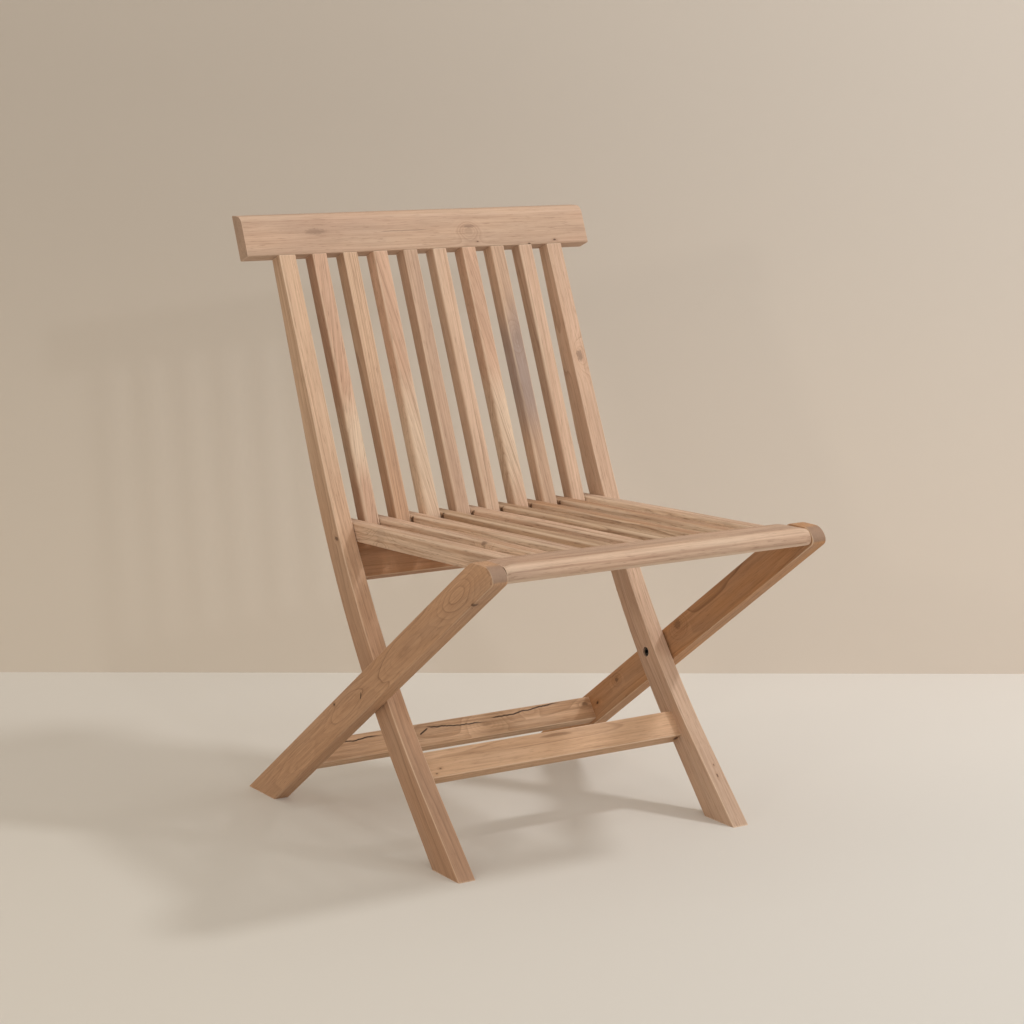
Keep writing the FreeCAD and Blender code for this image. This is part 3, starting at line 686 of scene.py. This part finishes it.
# seat front rail: its nose is sanded unevenly, and its ends are eased to lie inside the legs' noses
frontRail = {"low": (-0.2464, -0.0248, -0.0113), "high": (0.2464, 0.0360, 0.0132), "cuts": 30,
             "widest": 0.0158, "nose": 0.0143, "chin": 0.0085, "back": 0.0008, "waver": 0.0013,
             "waverSteps": (9.0, 4.0), "waverStart": 2.5, "eased": {0.010: 0.985, 0.004: 0.95, 0.0: 0.915},
             "legNose": (-0.0035, -0.0105)}


def railEdge(at):
    if at.y > 0:
        return frontRail["back"]
    wide = frontRail["nose"] if at.z > 0 else frontRail["chin"]
    along, up = frontRail["waverSteps"]
    spot = Vector((along * at.x, up * at.z, frontRail["waverStart"]))
    return wide + frontRail["waver"] * drift.noise(spot)


rail = wornBoard("worn_seat_front_rail", frontRail["low"], frontRail["high"], 0, frontRail["cuts"],
                 frontRail["widest"], railEdge)
for inwards, share in frontRail["eased"].items():
    for side in (-1.0, 1.0):
        place = side * (frontRail["high"][0] - inwards)
        if inwards:
            bisect((place, 0.0, 0.0), (1.0, 0.0, 0.0))
        pickEdges(rail, lambda one, other: abs(one.x - place) < touching and abs(other.x - place) < touching)
        bpy.ops.transform.resize(value=(1.0, share, share), center_override=(place, *frontRail["legNose"]))
settle(rail, fall, seatPivot)
rail.data.materials.append(nodes["seat_front_rail"].material_slots[0].material)
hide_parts("seat_front_rail")
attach(rail, "seat")
print("front rail made")

# legs
shortLegs = {
    "left_short_leg": {
        "tone": "warmTan", "seed": 31.4, "heart": (0.005, 0.10), "wander": 0.03, "ringWidth": 0.0028,
        "lineShare": 0.62, "streakShare": 0.2, "worn": 0.32,
        "knotsAndShade": [{"at": (-0.271, -0.2620, 0.4060), "size": 0.0170, "lift": 9.0, "dark": 0.0, "stretch": 2.8},
                  {"at": (-0.271, -0.1180, 0.3000), "size": 0.0130, "lift": 6.0, "dark": 0.0, "stretch": 4.0},
                  {"at": (-0.271, 0.0420, 0.1920), "size": 0.0110, "lift": 6.0, "dark": 0.0, "stretch": 3.6},
                  {"at": (-0.271, 0.1650, 0.0980), "size": 0.0140, "lift": 3.0, "dark": 0.0, "stretch": 4.0},
                  {"at": (-0.271, 0.0725, 0.1862), "size": 0.0030, "lift": 0.5, "dark": 0.95, "stretch": 1.0},
                  {"at": (-0.268, -0.2963, 0.3970), "size": 0.0030, "lift": 1.0, "dark": 0.8}],
        "splits": [{"at": (-0.271, -0.0030, 0.2100), "length": 0.009, "width": 0.0022, "slope": 0.9,
                    "wander": 0.0}]},
    "right_short_leg": {
        "tone": "rustTan", "seed": 32.6, "heart": (0.01, -0.09), "wander": 0.03, "cloudShare": 0.3,
        "knotsAndShade": [{"at": (0.247, -0.0385, 0.2602), "size": 0.0095, "lift": 5.0, "dark": 0.45, "stretch": 1.3},
                  {"at": (0.247, 0.1161, 0.1442), "size": 0.0055, "lift": 3.0, "dark": 0.55, "stretch": 1.3},
                  {"at": (0.247, 0.1667, 0.0967), "size": 0.0026, "lift": 1.0, "dark": 0.95}]},
}
dressBoards(shortLegs, along=alongLeg, across=acrossLeg, wornAcross=sideways)

# on the bent board, the first axis runs up the leg and the second through its thickness
legMiddle = 0.5  # halfway up
longLegs = {
    "left_long_leg": {
        "tone": "fadedTan", "seed": 33.1, "heart": (0.05, 0.03), "lineShare": 0.3, "driftShare": 1.0,
        "fade": (-0.5, 0.75), "paintedSideShare": 0.22,
        "knotsAndShade": [{"at": (-0.2445, 0.1087, 0.4158), "size": 0.0022, "lift": 1.0, "dark": 0.7}]},
    "right_long_leg": {
        "tone": "paleTan", "seed": 34.8, "heart": (-0.06, 0.03), "lineShare": 0.25, "paintedSideShare": 0.14,
        "knotsAndShade": [{"at": (0.2313, 0.1996, 0.6378), "size": 0.0070, "lift": 5.0, "dark": 0.5},
                  {"at": (0.2315, -0.1610, 0.0613), "size": 0.0018, "lift": 0.5, "dark": 0.8},
                  {"at": (0.2335, -0.1500, 0.0740), "size": 0.0014, "lift": 0.5, "dark": 0.7}]},
}
for node, board in longLegs.items():
    # painted shade: the long legs' sides are tinted a dark warm brown
    board.update(bend=True, along=(1.0, 0.0, 0.0), across=(0.0, 1.0, 0.0), wornAcross=sideways,
                 centre=(legMiddle, middle(node).x, 0.0), endFacing=(0.0, 0.0, 1.0), sideColour="#66431F")
    dress(node, teak("teak" + node.title().replace("_", ""), board))
print("teak dressed")

# metal and nylon
hardware = {
    # the steel's dark colour is partly painted shade: it is darkened to stand in for the shade deep in the
    # bolt holes
    "steel": {"colour": "#4A4642", "metallic": 1.0, "rough": (0.35, 0.55),
              "ends": ["pivot_bolt", "seat_pin"]},
    "brass": {"colour": "#B08D4A", "metallic": 1.0, "rough": (0.3, 0.5), "ends": ["threaded_insert"]},
    "nylon": {"colour": "#3A3835", "metallic": 0.0, "rough": (0.45, 0.6), "ends": ["leg_washer"]},
}
smearLook = {"repeats": (420.0, 420.0, 420.0), "shows": (0.45, 0.75), "share": 0.35, "colour": "#4A3A2C",
             "roughShows": (0.3, 0.7), "bump": 0.2, "bumpDistance": 0.0002}


def hardwareFinish(name, finish):
    material = bpy.data.materials.new(name)
    material.use_nodes = True
    tree = material.node_tree
    shader = tree.nodes["Principled BSDF"]
    place = addNode(tree, "TexCoord").outputs["Object"]
    smear = noise(tree, place, smearLook["repeats"], detail=4.0, roughness=0.6)
    share = easeBetween(tree, smear, *smearLook["shows"], 0.0, smearLook["share"])
    base = mixColours(tree, share, colour(finish["colour"]), colour(smearLook["colour"]))
    rough = easeBetween(tree, smear, *smearLook["roughShows"], *finish["rough"])
    relief = {"Height": smear, "Strength": smearLook["bump"], "Distance": smearLook["bumpDistance"]}
    tree.links.new(base, shader.inputs["Base Color"])
    tree.links.new(rough, shader.inputs["Roughness"])
    tree.links.new(addNode(tree, "Bump", relief).outputs[0], shader.inputs["Normal"])
    shader.inputs["Metallic"].default_value = finish["metallic"]
    return material


for name, finish in hardware.items():
    material = hardwareFinish(name, finish)
    for end in finish["ends"]:
        for side in ("left", "right"):
            dress(f"{side}_{end}", material)
    if name == "steel":
        dress("seat_batten_screws", material)
print("hardware dressed")

# the camera stands front left of the chair, a little higher than its top rail
cameraPlace = {"position": (-1.911, -2.930, 1.070), "yaw": 32.84, "pitch": 10.10, "roll": 0.1, "lens": 87.6}
yaw, pitch, roll = [math.radians(cameraPlace[key]) for key in ("yaw", "pitch", "roll")]
ahead = Vector((math.sin(yaw) * math.cos(pitch), math.cos(yaw) * math.cos(pitch), -math.sin(pitch)))
level = Vector((math.cos(yaw), -math.sin(yaw), 0.0))
above = level.cross(ahead)
right = level * math.cos(roll) + above * math.sin(roll)
top = above * math.cos(roll) - level * math.sin(roll)
lens = bpy.data.cameras.new("camera")
lens.lens = cameraPlace["lens"]
camera = bpy.data.objects.new("camera", lens)
scene.collection.objects.link(camera)
facing = Matrix((right, top, -ahead)).transposed().to_4x4()
camera.matrix_world = Matrix.Translation(cameraPlace["position"]) @ facing
scene.camera = camera

# floor and wall
room = {"wallFromCamera": 4.357, "size": 14.0,
        "roughness": 0.9, "specular": 0.1, "sideSpan": (-1.0, 1.3),
        "floor": {"near": ("#D5D1C9", "#D8D7D4"), "far": ("#DCD9D3", "#E2DFDB"), "span": (-0.3, 0.86)},
        "wall": {"near": ("#D9D0C4", "#DDD3C8"), "far": ("#C1B9AF", "#D6CFC7"), "span": (0.13, 1.1)}}
towards = Vector((math.sin(yaw), math.cos(yaw), 0.0))
wallFoot = Vector(cameraPlace["position"]) + towards * room["wallFromCamera"]
wallFoot.z = 0.0


def paintedFalloff(name, paint, away, seeThrough=False):  # painted light: its tone changes from left to right and from near to far, standing in for how the light falls off across the floor and wall
    material = bpy.data.materials.new(name)
    material.use_nodes = True
    tree = material.node_tree
    shader = tree.nodes["Principled BSDF"]
    place = addNode(tree, "TexCoord").outputs["Object"]
    sideOf = easeBetween(tree, reckonVector(tree, "DOT_PRODUCT", place, level), *room["sideSpan"])
    farOff = easeBetween(tree, reckonVector(tree, "DOT_PRODUCT", place, away), *paint["span"])
    near = mixColours(tree, sideOf, colour(paint["near"][0]), colour(paint["near"][1]))
    far = mixColours(tree, sideOf, colour(paint["far"][0]), colour(paint["far"][1]))
    tree.links.new(mixColours(tree, farOff, near, far), shader.inputs["Base Color"])
    shader.inputs["Roughness"].default_value = room["roughness"]
    shader.inputs["Specular IOR Level"].default_value = room["specular"]
    if seeThrough:  # seen from behind, the wall hides nothing
        clear = addNode(tree, "BsdfTransparent")
        behind = addNode(tree, "NewGeometry").outputs["Backfacing"]
        blend = addNode(tree, "MixShader", {0: behind, 1: shader.outputs[0], 2: clear.outputs[0]})
        tree.links.new(blend.outputs[0], tree.nodes["Material Output"].inputs["Surface"])
    return material


bpy.ops.object.select_all(action="DESELECT")
bpy.ops.mesh.primitive_plane_add(size=room["size"], location=wallFoot - towards * room["size"] / 2,
                                 rotation=(0.0, 0.0, -yaw))
floor = bpy.context.object
floor.name = "floor"
bpy.ops.object.transform_apply(location=True, rotation=True)
floor.data.materials.append(paintedFalloff("floorPaint", room["floor"], towards))
bpy.ops.mesh.primitive_plane_add(size=room["size"], location=wallFoot + Vector((0.0, 0.0, room["size"] / 2)),
                                 rotation=(math.pi / 2, 0.0, -yaw))
wall = bpy.context.object
wall.name = "wall"
bpy.ops.object.transform_apply(location=True, rotation=True)
wall.data.materials.append(paintedFalloff("wallPaint", room["wall"], Vector((0.0, 0.0, 1.0)), True))

# lamps: three small ones that draw the shadows, three broad ones and a plain sky
plainTint = (1.0, 0.99, 0.98)
lamps = {
    "frontLamp": {"from": (-0.14, -0.90, 0.38), "away": 3.8, "size": 0.16, "watts": 8.0},
    "leftLamp": {"from": (-0.90, -0.31, 0.29), "away": 3.8, "size": 0.3, "watts": 7.5,
                 "tint": (1.0, 0.88, 0.75)},
    "leftSoft": {"from": (-1.0, 0.12, 0.7), "away": 3.2, "size": 2.4, "watts": 11.0,
                 "tint": (1.0, 0.86, 0.7), "shadow": False},
    "rightLamp": {"from": (0.57, -0.30, 0.76), "away": 3.6, "size": 0.45, "watts": 38.0},
    "rightSoft": {"from": (0.45, -1.0, 0.35), "away": 3.6, "size": 2.6, "watts": 24.0},
    "topSoft": {"from": (-0.25, 0.0, 0.97), "away": 2.8, "size": 2.6, "watts": 9.0,
                "shadow": False},
}
aim = Vector((0.0, 0.0, 0.45))
for name, lamp in lamps.items():
    light = bpy.data.lights.new(name, "AREA")
    light.shape = "DISK"
    light.size = lamp["size"]
    light.energy = lamp["watts"]
    light.color = lamp.get("tint", plainTint)
    light.use_shadow = lamp.get("shadow", True)
    holder = bpy.data.objects.new(name, light)
    scene.collection.objects.link(holder)
    direction = Vector(lamp["from"]).normalized()
    holder.location = aim + direction * lamp["away"]
    holder.rotation_euler = direction.to_track_quat("Z", "Y").to_euler()

skyLight = {"colour": "#F3E9DC", "strength": 0.61}
world = bpy.data.worlds.new("studio")
scene.world = world
world.use_nodes = True
sky = world.node_tree.nodes["Background"]
sky.inputs["Color"].default_value = colour(skyLight["colour"])
sky.inputs["Strength"].default_value = skyLight["strength"]
print("stage set")
